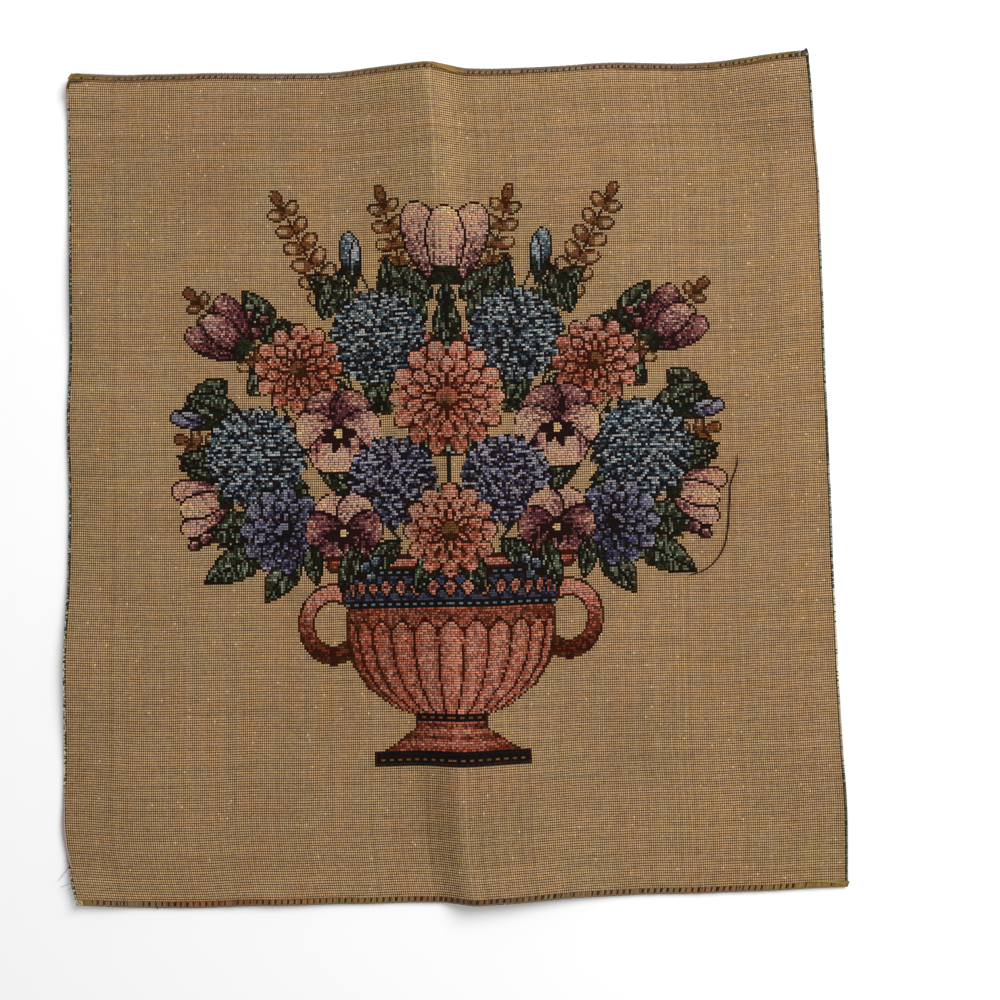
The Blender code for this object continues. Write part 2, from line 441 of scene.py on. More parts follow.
def aster(x, y, radius, petals, yarns, edge_yarn, heart):
    """Open flower with three rings of pointed petals and a small round heart."""
    dx, dy, away, turn = from_heart(x, y)
    for ring, size in enumerate((1.0, 0.72, 0.46)):
        lobe = np.abs(np.cos(petals * turn / 2.0 + ring * math.pi / 2.0))
        edge = radius * size * (0.72 + 0.28 * lobe ** 0.6)
        inside = away < edge
        shade = 0.25 + 0.55 * lobe * np.clip(away / edge, 0.0, 1.0) + 0.12 * (dx + dy) / radius
        shade_in(inside, yarns, shade)
        seam = (lobe * away * 2.0 / petals < 0.85) & (away > edge * 0.3)
        fill_in(inside & ((edge - away < 1.25) | seam), edge_yarn)
        shade_in(inside & (lobe > 0.988) & (away < edge * 0.85), yarns, shade - 0.3)
    shade_in(away < radius * 0.17, heart, 0.5 + 2.5 * (dx + dy) / radius)


def carnation(x, y, radius, yarns, edge_yarn):
    """Full round flower of short frilled petals that overlap like scales."""
    dx, dy, away, turn = from_heart(x, y)
    ragged = radius * (0.93 + 0.07 * np.abs(np.sin(turn * 9.0)) + 0.03 * np.sin(turn * 23.0))
    fill_in(away < ragged, edge_yarn)
    deep = 6.2
    rings = int(radius / deep) + 1
    for ring in range(rings, 0, -1):
        tip = ring * radius / rings * 0.98
        count = max(int(round(2.0 * math.pi * tip / 7.5)), 5)
        aside = 2.0 * np.abs((turn / (2.0 * math.pi) * count + 0.5 * (ring % 2)) % 1.0 - 0.5)
        edge = tip * (1.0 - 0.10 * aside ** 2) - deep * 0.35 * aside ** 3
        inside = (away < edge) & (away < ragged)
        depth = np.clip((edge - away) / deep, 0.0, 1.0)
        light = 0.96 - 0.66 * depth + 0.14 * (dx * 0.5 + dy) / radius - 0.12 * aside ** 2
        shade_in(inside, yarns, light + frills)
        fill_in(inside & (aside * math.pi * tip / count > 3.2), edge_yarn)


def petal(x, y, degrees, length, width, yarns, edge_yarn, lift=0.0):
    """One broad petal, darker and streaked at its base, with a dark rim."""
    along, across = from_motif(x, y, degrees)
    middle = along / length
    half = width / 2.0 * np.sqrt(np.clip(1.0 - (2.0 * middle - 1.0) ** 2, 0.0, 1.0)) * (0.75 + 0.35 * middle)
    inside = (along > 0.0) & (along < length) & (np.abs(across) < half)
    shade = 0.30 + 0.45 * middle + lift - 0.25 * (np.abs(across) / np.maximum(half, 1.0)) ** 2
    shade_in(inside, yarns, shade)
    streak = (np.abs(np.sin(across * 0.95)) < 0.30) & (middle < 0.72)
    shade_in(inside & streak, yarns, shade - 0.22)
    fill_in(inside & ((np.abs(across) > half - 1.3) | (along > length - 1.2)), edge_yarn)


def pansy(x, y, size, yarns, back_yarns):
    """Flat flower of five petals with a dark blotch and a straw-coloured eye."""
    for degrees, share, kind in (
        (62, 0.98, back_yarns), (118, 0.98, back_yarns), (8, 0.92, yarns), (172, 0.92, yarns),
    ):
        petal(x, y, degrees, size * share, size * 0.95, kind, "plum", 0.1)
    petal(x, y + size * 0.12, 270, size * 0.98, size * 1.35, yarns, "plum", 0.16)
    dx, dy, away, turn = from_heart(x, y)
    fill_in(away < size * (0.20 + 0.20 * np.abs(np.sin(turn * 3.5)) * (dy < size * 0.1)), "plum")
    fill_in(away < size * 0.10, "straw")


def tulip(x, y, degrees, size, yarns):
    """Closed cup of three petals, seen from the side, on a green base."""
    turn = math.radians(degrees)
    for side in (-1.0, 1.0):
        base_x = x - math.sin(turn) * side * size * 0.10
        base_y = y + math.cos(turn) * side * size * 0.10
        petal(base_x, base_y, degrees + side * 17.0, size, size * 0.50, yarns, "plum", 0.06)
    petal(x, y, degrees, size * 0.90, size * 0.50, yarns, "plum", 0.22)
    along, across = from_motif(x, y, degrees)
    cup = (along > -2.0) & (along < size * 0.20) & (np.abs(across) < size * 0.17 - along * 0.25 + 1.0)
    shade_in(cup, GREENS, 0.45 + across / size)


def bud(x, y, degrees, size, yarns):
    """Slim bud with a folded petal and two green sepals."""
    petal(x, y, degrees, size, size * 0.42, yarns, "navy", 0.12)
    petal(x, y, degrees + 9.0, size * 0.86, size * 0.22, yarns, "navy", 0.30)
    for side in (-16.0, 14.0):
        along, across = from_motif(x, y, degrees + side)
        sepal = (along > -1.0) & (along < size * 0.46) & (np.abs(across) < 2.2 - along * 0.07)
        shade_in(sepal, GREENS, 0.42)


def wheat(x, y, degrees, length, grains=6):
    """Ear of large paired husks on a stalk, each husk with a dark edge and a pale heart."""
    turn = math.radians(degrees)
    step = length * 0.78 / grains
    stem(((x, y), (x + math.cos(turn) * length, y + math.sin(turn) * length)), 1.5, "bark")
    for number in range(grains):
        at = length * 0.20 + number * step
        grain_x, grain_y = x + math.cos(turn) * at, y + math.sin(turn) * at
        size = step * (1.28 - 0.35 * number / grains)
        for side in (-1.0, 1.0):
            along, across = from_motif(grain_x, grain_y, degrees + side * 58.0)
            bulge = np.sqrt(np.clip(1.0 - (2.0 * along / size - 1.0) ** 2, 0.0, 1.0))
            half = size * 0.36 * bulge
            inside = (along > 0.0) & (along < size) & (np.abs(across) < half)
            shade_in(inside, BROWNS, 0.34 + 0.40 * along / size)
            fill_in(inside & (along > size * 0.42) & (np.abs(across) < half - 2.4), "ground")
            fill_in(inside & ((np.abs(across) > half - 1.25) | (along > size - 1.3)), "bark")
    tip = length - step * 0.7
    petal(x + math.cos(turn) * tip, y + math.sin(turn) * tip, degrees, step * 1.1, 8.0, BROWNS, "bark")


def berries(x, y, spots, yarns):
    for off_x, off_y, radius in spots:
        dx, dy, away, turn = from_heart(x + off_x, y + off_y)
        shade_in(away < radius, yarns, 0.55 + 0.35 * (dx + dy) / radius)
        fill_in((away < radius) & (away > radius - 1.2), yarns[0])


URN_SIDE = (
    (-172.0, 46.0), (-164.0, 46.0), (-162.0, 38.0), (-156.0, 30.0), (-150.0, 21.0), (-143.0, 21.0),
    (-138.0, 34.0), (-126.0, 50.0), (-112.0, 59.0), (-96.0, 63.0), (-84.0, 63.0), (-79.0, 61.0),
    (-78.0, 64.0), (-58.0, 67.0), (-57.0, 73.0), (-48.0, 75.0),
)
URN_FLUTES = 13
URN_RINGS = ((-172.0, -164.0), (-146.0, -141.0), (-79.5, -74.5), (-60.5, -56.5))


def urn():
    """Footed urn with upright flutes, a band of diamonds, beaded rings and two handles."""
    half = np.interp(up, *np.array(URN_SIDE).T)
    inside = (up > URN_SIDE[0][0]) & (up < URN_SIDE[-1][0]) & (beside < half)

    from_handle = np.hypot(beside - 70.0, (up + 88.0) / 1.15)
    fill_in(from_handle < 21.0, "maroon")
    shade_in(from_handle < 19.6, TERRACOTTA, 0.55 + 0.02 * (up + 88.0))
    fill_in(from_handle < 12.4, "maroon")
    fill_in(from_handle < 11.0, "ground")

    round_side = np.sqrt(np.clip(1.0 - (beside / half) ** 2, 0.0, 1.0))
    bearing = np.arcsin(np.clip(right / half, -1.0, 1.0)) / math.pi
    flute = (bearing * URN_FLUTES + 0.5) % 1.0 - 0.5
    body = inside & (up > -143.0) & (up < -79.0)
    shade_in(body, TERRACOTTA, 0.20 + 0.34 * round_side + 0.30 * (1.0 - 4.0 * flute ** 2) + right / 600.0)
    flute_gap = 2.3 / np.maximum(half * round_side, 1.0)
    fill_in(body & (np.abs(flute) > 0.5 - flute_gap), "maroon")
    scallop = -86.5 - 6.0 * np.sin(bearing * URN_FLUTES * math.pi) ** 2
    shade_in(inside & (up > scallop) & (up < -79.0), TERRACOTTA, 0.34 + 0.2 * round_side)
    fill_in(inside & (np.abs(up - scallop) < 1.0), "maroon")

    shade_in(inside & (up < -143.0), TERRACOTTA, 0.2 + 0.45 * round_side + 0.15 * np.sin(up * 0.9))
    band = inside & (up > -74.5) & (up < -60.5)
    diamond = np.abs((bearing * 20.0 + 0.5) % 1.0 - 0.5) * 2.0 + np.abs(up + 67.5) / 7.0
    shade_in(band, ("indigo", "slate", "violet"), 0.5 + 0.4 * np.sin(right * 0.4 + up))
    shade_in(band & (diamond < 0.92), TERRACOTTA, 0.75 - 0.4 * diamond + 0.2 * round_side)
    fill_in(band & (np.abs(diamond - 0.92) < 0.17), "navy")
    shade_in(band & (diamond < 0.30), MAUVES, 0.6)

    shade_in(inside & (up > -56.5), TERRACOTTA, 0.25 + 0.4 * round_side + 0.2 * np.cos((up + 52.0) * 0.6))
    fill_in(inside & ((up > -50.0) | (up > -56.5) & (up < -55.0)), "maroon")
    for low, high in URN_RINGS:
        ring = inside & (up > low) & (up < high)
        fill_in(ring, "navy")
        beads = ring & (np.abs(up - (low + high) / 2.0) < 0.9) & (beside % 5.0 < 2.6)
        fill_in(beads, "sky" if high > -100.0 else "brown")
    fill_in(inside & (beside > half - 1.5), "maroon")


STEMS = (
    ((0, -40), (0, 110)), ((20, -40), (60, 60), (88, 70)), ((30, -40), (90, 30), (128, 78)),
    ((30, -44), (100, -8), (142, 4)), ((0, 60), (30, 108)), ((10, 0), (36, 90), (52, 124)),
    ((40, -46), (110, -38), (140, -42)),
)
WHEAT = ((18, 88, 76, 88, 6), (62, 92, 63, 90, 6), (104, 58, 46, 76, 6), (112, 6, 20, 52, 4))
BACK_LEAVES = (
    (6, 104, 158, 34, 18), (8, 106, 34, 38, 18), (30, 100, 78, 34, 17), (56, 106, 30, 34, 17),
    (84, 82, 14, 38, 19), (76, 96, 112, 34, 16), (104, 66, 96, 32, 16), (132, 58, -30, 32, 16),
    (124, 34, 26, 38, 18), (124, 16, -14, 40, 19), (112, -28, -6, 46, 19), (108, -40, -30, 46, 20),
    (90, -44, -56, 38, 18), (132, 6, 14, 32, 15), (20, 62, 30, 34, 17), (34, 36, 62, 34, 16),
    (72, 16, 88, 36, 18), (80, -26, 20, 34, 17), (16, -10, 205, 36, 17), (90, 42, 160, 34, 16),
    (24, -34, 148, 34, 16), (62, 58, -44, 36, 17), (0, 76, 90, 34, 16), (14, 64, 128, 32, 16),
    (12, 92, 46, 34, 17), (36, 10, 24, 34, 16), (84, -6, -14, 34, 17), (42, 44, -36, 34, 16),
    (104, 88, 52, 34, 16), (134, 84, 96, 26, 14), (60, 84, 92, 34, 16), (0, 10, 90, 30, 16),
    (0, 12, 40, 32, 16), (52, -10, 30, 32, 15), (120, 50, 130, 30, 15), (134, -8, 30, 28, 14),
)
FRONT_LEAVES = (
    (8, -44, -64, 30, 14), (30, -40, -40, 34, 14), (56, -42, -72, 30, 13), (84, -40, -100, 26, 12),
)


def work_design():
    """Works the design from the back to the front, the urn after the flowers behind its rim."""
    for ear in WHEAT:
        wheat(*ear)
    for points in STEMS:
        stem(points)
    for spray in BACK_LEAVES:
        leaf(*spray)
    berries(116, 88, ((0, 0, 4.6), (8, 3, 4.2), (4, 10, 4.0), (-5, 8, 3.8)), MAUVES)
    berries(14, 74, ((0, 0, 4.4), (7, 5, 4.2), (-2, 8, 3.8)), CORALS)
    berries(146, -36, ((0, 0, 4.6), (7, -4, 4.0), (3, 8, 4.0)), MAUVES)
    bud(56, 116, 84, 34, BLUES)
    bud(138, 32, 12, 30, VIOLETS)
    tulip(122, 76, 42, 38, MAUVES)
    tulip(0, 116, 90, 52, ROSES)
    tulip(133, -12, -14, 34, ROSES)
    carnation(42, 84, 30, BLUES, "navy")
    aster(90, 66, 28, 12, CORALS, "maroon", ("bark", "brown"))
    carnation(116, 12, 31, BLUES, "navy")
    pansy(66, 26, 29, ROSES, MAUVES)
    aster(0, 46, 36, 14, CORALS, "maroon", ("bark", "brown", "coral"))
    aster(100, -32, 27, 11, VIOLETS, "navy", ("navy", "lavender"))
    carnation(34, -4, 28, VIOLETS, "navy")
    pansy(64, -34, 26, MAUVES, ROSES)
    urn()
    for spray in FRONT_LEAVES:
        leaf(*spray)
    aster(0, -34, 29, 12, CORALS, "maroon", ("bark", "brown"))
    berries(44, -52, ((0, 0, 4.2), (7, -3, 4.2), (3, -9, 3.8)), BLUES)


work_design()


def darken_behind_design():
    """Marks the places of the cloth that the design covers, where its backing is dark."""
    spots = np.empty(len(cloth.data.loops) * 2, dtype=np.float32)
    cloth.data.uv_layers["stitch_grid"].data.foreach_get("uv", spots)
    columns, rows = spots.reshape(-1, 2).T
    columns = np.clip((columns + COLUMNS / 2.0).astype(int), 0, COLUMNS - 1)
    rows = np.clip((rows + ROWS / 2.0).astype(int), 0, ROWS - 1)
    vertices = np.empty(len(cloth.data.loops), dtype=np.int32)
    cloth.data.loops.foreach_get("vertex_index", vertices)
    marks = np.zeros(len(cloth.data.vertices), dtype=np.float32)
    marks[vertices] = chart[rows, columns] > 0
    cloth.data.attributes["behind_design"].data.foreach_set("value", marks)


darken_behind_design()


# The stitches: each is a short raised float of wool yarn over the cloth, one column long on
# the ground and one to three where a colour runs on. They are worked row by row, so rows and
# columns differ a little in tone, and pale slubs of coarse yarn show here and there.
GROUND_STITCH = {"Stitch Width": 0.79 * COLUMN_PITCH, "Stitch Height": 0.75 * ROW_PITCH}
DESIGN_STITCH = {"Stitch Width": 0.92 * COLUMN_PITCH, "Stitch Height": 0.82 * ROW_PITCH}
STITCH_RISE, STITCH_BASE = 0.00050, 0.00094
END_ROWS = 2
SIDE_YARN, SIDE_FLECK = from_dyer(66, 66, 52), from_dyer(176, 168, 142)
SIDE_DARKENING, SIDE_FLECK_SHARE = np.array([[0.8], [0.4]]), 0.20
SLUB = from_dyer(222, 190, 140)
SLUB_SHARE, SLUB_FULLNESS = 0.0035, 1.12
ROW_SWING, COLUMN_SWING, STITCH_SWING = 0.040, 0.045, 0.070
LEAST_BRIGHT, MOST_BRIGHT = 0.55, 1.5
WARM_TINT, RUDDY_TINT = np.array([1.0, -0.2, -1.6]), np.array([1.0, -1.2, 0.6])
# Patches of uneven dye: how strong, and over how many rows and columns they change.
BRIGHT_PATCHES = ((0.045, 1.0, 22.0), (0.035, 30.0, 34.0))
WARM_PATCHES = ((0.022, 2.0, 30.0), (0.014, 60.0, 6.0))
RUDDY_PATCHES = ((0.009, 14.0, 12.0), (0.005, 70.0, 60.0))
WOOL_SEED = 5

# The runs of yarn along each side, from the bottom up: where each ends, its yarn, and how
# much of it is dark. The outermost stitches share them with the binding that is made next.
LEFT_RUNS = (
    (-0.232, "mist", 0.50), (-0.178, "beige", 0.08), (-0.090, "pale", 0.50), (0.060, "mist", 0.75),
    (0.135, "green", 0.70), (0.195, "mist", 0.42), (0.238, "beige", 0.18), (0.251, "ochre", 0.20),
)
RIGHT_RUNS = (
    (-0.182, "green", 0.72), (-0.135, "beige", 0.12), (-0.077, "pale", 0.22), (-0.060, "green", 0.80),
    (0.000, "mist", 0.42), (0.030, "green", 0.78), (0.140, "mist", 0.36), (0.206, "beige", 0.06),
    (0.229, "mist", 0.42), (0.240, "green", 0.70), (0.251, "black", 0.80),
)

wool_random = np.random.default_rng(WOOL_SEED)


def smooth_noise(row_scale, column_scale):
    """Chance tones that change slowly, over so many rows and columns."""
    coarse = wool_random.standard_normal((int(ROWS / row_scale) + 3, int(COLUMNS / column_scale) + 3))

    def steps(count, scale):
        at = np.arange(count) / scale
        low = at.astype(int)
        share = at - low
        return low, share ** 2 * (3.0 - 2.0 * share)

    row, row_share = steps(ROWS, row_scale)
    column, column_share = steps(COLUMNS, column_scale)
    eased = coarse[:, column] * (1 - column_share) + coarse[:, column + 1] * column_share
    return eased[row] * (1 - row_share)[:, None] + eased[row + 1] * row_share[:, None]


def in_patches(tones, patches):
    """Adds chance tones that change slowly, from a table of patches."""
    for swing, row_scale, column_scale in patches:
        tones = tones + swing * smooth_noise(row_scale, column_scale)
    return tones


def runs_at(runs, places):
    """The row of a table of runs that each place along an edge falls in."""
    at = np.searchsorted([end for end, yarn, dark in runs], places)
    return [runs[row] for row in np.minimum(at, len(runs) - 1)]


def yarn_tones():
    """The colour of each stitch: its yarn from the chart, with the unevenness of wool."""
    tones = np.array([from_dyer(*YARNS[name]) for name in YARN_NAMES])[chart]
    bright = 1.0 + ROW_SWING * wool_random.standard_normal((ROWS, 1))
    bright = bright + COLUMN_SWING * wool_random.standard_normal((1, COLUMNS))
    bright = bright + STITCH_SWING * wool_random.standard_normal((ROWS, COLUMNS))
    bright = in_patches(bright, BRIGHT_PATCHES)
    tones = tones * np.clip(bright, LEAST_BRIGHT, MOST_BRIGHT)[..., None]
    for patches, tint in ((WARM_PATCHES, WARM_TINT), (RUDDY_PATCHES, RUDDY_TINT)):
        tones = tones * (1.0 + in_patches(0.0, patches)[..., None] * tint)
    slub = (wool_random.random((ROWS, COLUMNS)) < SLUB_SHARE) & (chart == 0)
    tones = np.where(slub[..., None], SLUB, tones)

    heights = (np.arange(ROWS) + 0.5) * ROW_PITCH - LENGTH / 2.0
    dark = [[dark for end, yarn, dark in runs_at(runs, heights)] for runs in (LEFT_RUNS, RIGHT_RUNS)]
    dark = np.array(dark).T[..., None] * SIDE_DARKENING
    pick = wool_random.random((ROWS, 2, 1))
    side = np.where(pick < dark + SIDE_FLECK_SHARE, SIDE_FLECK, tones[:, [0, -1]])
    side = np.where(pick < dark, SIDE_YARN, side)
    tones[:, [0, -1]] = side * wool_random.uniform(0.6, 1.3, (ROWS, 2, 1))
    return np.clip(tones, 0.002, 1.0), slub


stitch_tones, slubs = yarn_tones()


def floats_of_row(row):
    """Cuts a row into floats: one stitch each on the ground, up to three in the design."""
    start = 0
    while start < COLUMNS:
        longest = 1 if chart[row, start] == 0 else 1 + int(wool_random.random() * 2.6)
        end = start + 1
        while end < min(start + longest, COLUMNS) and chart[row, end] == chart[row, start]:
            end += 1
        yield start, end - start
        start = end


float_rows, float_starts, float_spans = np.array([
    (row, start, span)
    for row in range(END_ROWS, ROWS - END_ROWS)
    for start, span in floats_of_row(row)
]).T


def named_value(tree, name):
    """A value that each of the points carries under a name."""
    return add_node(tree, "GeometryNodeInputNamedAttribute", {"Name": name}).outputs[0]


def set_on_places(tree, places, shape, turn, size, yarn):
    """Sets a shape on each place, turned and sized, and joins them as one smooth mesh of yarn."""
    placed = add_node(tree, "GeometryNodeInstanceOnPoints", {
        "Points": places, "Instance": shape, "Rotation": turn, "Scale": size,
    })
    whole = add_node(tree, "GeometryNodeRealizeInstances", {0: placed.outputs[0]})
    smooth = add_node(tree, "GeometryNodeSetShadeSmooth", {"Geometry": whole.outputs[0]})
    return add_node(tree, "GeometryNodeSetMaterial", {
        "Geometry": smooth.outputs[0], "Material": yarn,
    }).outputs[0]


def stitch_tree():
    """A small dome of yarn set on each place, drawn out over its span of columns."""
    tree, given, made = new_tree("worked_stitches", "GeometryNodeTree", {
        "Places": "Geometry", "Stitch Width": COLUMN_PITCH, "Stitch Height": ROW_PITCH,
        "Stitch Rise": STITCH_RISE, "Column Pitch": COLUMN_PITCH, "Unevenness": 0.08, "Slant": 0.04,
        "Seed": 3, "Yarn": "Material",
    }, {"Stitches": "Geometry"})
    dome = add_node(tree, "GeometryNodeMeshCone", {
        "Vertices": 4, "Radius Top": 0.0, "Radius Bottom": math.sqrt(0.5), "Depth": given["Stitch Rise"],
    }, fill_type="NONE")
    squared = add_node(tree, "GeometryNodeTransform", {
        "Geometry": dome.outputs["Mesh"], "Rotation": (0.0, 0.0, math.radians(45.0)),
    })
    more_columns = math_node(tree, "SUBTRACT", named_value(tree, "span"), 1.0)
    more_width = math_node(tree, "MULTIPLY", more_columns, given["Column Pitch"])
    chance = add_node(tree, "FunctionNodeRandomValue", {
        2: math_node(tree, "SUBTRACT", 1.0, given["Unevenness"]),
        3: math_node(tree, "ADD", 1.0, given["Unevenness"]),
        "Seed": given["Seed"],
    }, data_type="FLOAT")
    full = math_node(tree, "MULTIPLY", named_value(tree, "fullness"), chance.outputs[1])
    size = add_node(tree, "ShaderNodeCombineXYZ", {
        "X": math_node(tree, "ADD", more_width, given["Stitch Width"]),
        "Y": math_node(tree, "MULTIPLY", given["Stitch Height"], full),
        "Z": full,
    })
    tilt = add_node(tree, "FunctionNodeRandomValue", {
        2: math_node(tree, "MULTIPLY", given["Slant"], -1.0), 3: given["Slant"], "Seed": given["Seed"],
    }, data_type="FLOAT")
    turn = add_node(tree, "ShaderNodeCombineXYZ", {"Z": tilt.outputs[1]})
    set_inputs(tree, made, {"Stitches": set_on_places(
        tree, given["Places"], squared.outputs[0], turn.outputs[0], size.outputs[0], given["Yarn"]
    )})
    return tree


def worked_mesh(name, places, values, tree, inputs):
    """Runs a tree on points that carry named values, and gives back a plain mesh."""
    mesh = bpy.data.meshes.new(name)
    mesh.from_pydata(places.tolist(), [], [])
    for value_name, each in values.items():
        kind, field = ("FLOAT", "value") if each.ndim == 1 else ("FLOAT_COLOR", "color")
        if each.ndim > 1:
            each = np.concatenate([each, np.ones((len(each), 1))], axis=1)
        carried = mesh.attributes.new(value_name, kind, "POINT")
        carried.data.foreach_set(field, each.astype(np.float32).ravel())
    points = show_piece(name, mesh)
    maker = points.modifiers.new("work", "NODES")
    maker.node_group = tree
    sockets = {item.name: item.identifier for item in tree.interface.items_tree if item.in_out == "INPUT"}
    for input_name, value in inputs.items():
        maker[sockets[input_name]] = value
    scene_now = bpy.context.evaluated_depsgraph_get()
    whole = points.evaluated_get(scene_now)
    mesh = bpy.data.meshes.new_from_object(whole, preserve_all_data_layers=True, depsgraph=scene_now)
    bpy.data.objects.remove(points, do_unlink=True)
    return mesh


def yarn_material(name, stretch, streaks, depth, bump_distance, sheen):
    """Wool that takes its colour from each stitch, with fibres along the thread."""
    material, tree, shader = new_material(name)
    colour = add_node(tree, "ShaderNodeAttribute", attribute_name="yarn_colour")
    dress_in_yarn(tree, shader, colour.outputs["Color"], stretch, streaks, depth, bump_distance)
    set_inputs(tree, shader, {"Sheen Weight": sheen, "Sheen Roughness": 0.6})
    return material


wool = yarn_material(
    "wool_yarn", stretch=(1.0, 3.2, 1.0), streaks=1.6, depth=0.45, bump_distance=0.00012, sheen=0.02
)
stitches_worked = stitch_tree()


def add_soft_piece(name, mesh, baked_flat=False):
    """Lays a flat mesh on the folds, as one more piece of the panel."""
    settle_piece(mesh, baked_flat)
    piece = show_piece(name, mesh)
    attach(piece, "root")
    return piece


def stitches(name, chosen, size, seed):
    """The floats that are chosen, as one piece of raised yarn laid on the folds."""
    rows, starts, spans = float_rows[chosen], float_starts[chosen], float_spans[chosen]
    places = np.stack([
        (starts + spans / 2.0) * COLUMN_PITCH - WIDTH / 2.0,
        (rows + 0.5) * ROW_PITCH - LENGTH / 2.0,
        np.full(len(rows), STITCH_BASE),
    ], axis=1)
    mesh = worked_mesh(name, places, {
        "yarn_colour": stitch_tones[rows, starts],
        "span": spans,
        "fullness": np.where(slubs[rows, starts], SLUB_FULLNESS, 1.0),
    }, stitches_worked, {**size, "Seed": seed, "Yarn": wool})
    return add_soft_piece(name, mesh, baked_flat=True)


in_design = chart[float_rows, float_starts] > 0
on_left = float_starts < COLUMNS // 2
design_stitches = stitches("design_stitches", in_design, DESIGN_STITCH, 1)
left_stitches = stitches("ground_stitches_left", ~in_design & on_left, GROUND_STITCH, 2)
right_stitches = stitches("ground_stitches_right", ~in_design & ~on_left, GROUND_STITCH, 3)


# The overlocked edges: loops of yarn, one to a column, wrap the top and bottom. The yarn
# changes along them, and about every third loop is narrow, dark and slanting. At the sides a
# short pale and a dark loop bind each row, in runs of cream, beige, grey-green and black yarn.
END_LOOP = {"Reach": 0.0033, "Thickness": 0.00030}
LEFT_LOOP = {"Reach": 0.0004, "Thickness": 0.00028}
RIGHT_LOOP = {"Reach": 0.0009, "Thickness": 0.00028}
LOOP_BEYOND, LOOP_TOP, LOOP_FOOT = 0.0001, 0.00168, 0.00030
SIDE_LOOPS = 2 * (ROWS - 2 * END_ROWS)
TOP, BOTTOM, LEFT, RIGHT = 1.0, -1.0, -1.0, 1.0
END_FLATNESS, SIDE_FLATNESS = 2.5, 1.45
TICK_FLATNESS = {TOP: 1.15, BOTTOM: 1.55}
TICK_TONES = {TOP: (1.0, 2.8), BOTTOM: (0.6, 1.5)}
TICK_EVERY, TICK_SLANT = 3, 0.34
PALE_DARK_SHARE = 0.2
YARN_MIX, RUN_SCATTER, END_SCATTER = 0.45, 0.004, 0.00010
END_TURN_SCATTER, SIDE_TURN_SCATTER = 0.06, 0.12
END_WIDTHS, SIDE_WIDTHS = (0.85, 1.15), (0.8, 1.1)
END_TONES, SIDE_TONES = (0.80, 1.20), (0.75, 1.2)
EDGE_SEED = 11
EDGE_YARNS = {
    "lilac": (128, 106, 90), "grey": (118, 98, 70), "olive": (124, 100, 58), "brown": (130, 94, 64),
    "rust": (122, 80, 52), "ochre": (138, 110, 52), "dusk": (98, 74, 54), "tick": (62, 40, 26),
    "pale": (196, 190, 166), "mist": (150, 158, 144), "green": (88, 94, 74), "black": (50, 52, 42),
    "beige": (158, 142, 122),
}
TOP_RUNS = (
    (-0.219, "ochre", 0.30), (-0.200, "olive", 0.70), (-0.162, "grey", 0.90), (-0.119, "brown", 0.90),
    (-0.059, "lilac", 0.55), (-0.025, "brown", 0.75), (-0.006, "olive", 0.60), (0.013, "ochre", 0.50),
    (0.134, "lilac", 0.92), (0.171, "grey", 0.75), (0.193, "olive", 0.80), (0.223, "ochre", 0.95),
    (0.229, "black", 0.50),
)
BOTTOM_RUNS = (
    (-0.216, "olive", 0.60), (-0.175, "grey", 0.90), (-0.112, "rust", 0.98), (-0.074, "brown", 0.98),
    (-0.033, "olive", 0.98), (-0.019, "rust", 0.98), (0.037, "dusk", 0.98), (0.130, "grey", 0.90),
    (0.177, "brown", 0.98), (0.203, "ochre", 0.70), (0.229, "ochre", 0.15),
)

edge_random = np.random.default_rng(EDGE_SEED)


def loop_tree():
    """A flattened loop of yarn over an edge, set on each place and turned to face outwards."""
    tree, given, made = new_tree("edge_loops", "GeometryNodeTree", {
        "Places": "Geometry", "Reach": "Float", "Beyond": "Float", "Thickness": "Float",
        "Loop Top": "Float", "Loop Foot": "Float", "Yarn": "Material",
    }, {"Loops": "Geometry"})
    reach, top = given["Reach"], given["Loop Top"]

    def times(output, factor):
        return math_node(tree, "MULTIPLY", output, factor)

    def spot(y, z):
        return add_node(tree, "ShaderNodeCombineXYZ", {"Y": y, "Z": z}).outputs[0]

    out = math_node(tree, "ADD", times(reach, 0.75), times(given["Beyond"], 2.0))
    path = add_node(tree, "GeometryNodeCurveQuadraticBezier", {
        "Resolution": 8, "Start": spot(times(reach, -1.0), top), "Middle": spot(out, times(top, 0.86)),
        "End": spot(times(reach, -0.5), given["Loop Foot"]),
    })
    strand = add_node(tree, "GeometryNodeCurvePrimitiveCircle", {
        "Resolution": 6, "Radius": given["Thickness"],
    })
    tube = add_node(tree, "GeometryNodeCurveToMesh", {
        "Curve": path.outputs[0], "Profile Curve": strand.outputs[0], "Fill Caps": True,
    })
    turn = add_node(tree, "ShaderNodeCombineXYZ", {"Z": named_value(tree, "turn")})
    size = add_node(tree, "ShaderNodeCombineXYZ", {
        "X": named_value(tree, "flatness"), "Y": 1.0, "Z": 1.0,
    })
    set_inputs(tree, made, {"Loops": set_on_places(
        tree, given["Places"], tube.outputs[0], turn.outputs[0], size.outputs[0], given["Yarn"]
    )})
    return tree


edge_yarn = yarn_material(
    "overlock_yarn", stretch=(3.0, 1.2, 1.0), streaks=1.6, depth=0.5, bump_distance=0.00015, sheen=0.03
)
edge_loops = loop_tree()


def yarns_in_runs(places, runs):
    """The colour of each loop along an edge, and how often it is dark, from a table of runs."""
    rows = runs_at(runs, places + edge_random.normal(0.0, RUN_SCATTER, len(places)))
    colours = np.array([from_dyer(*EDGE_YARNS[yarn]) for end, yarn, dark in rows])
    return colours, np.array([dark for end, yarn, dark in rows])


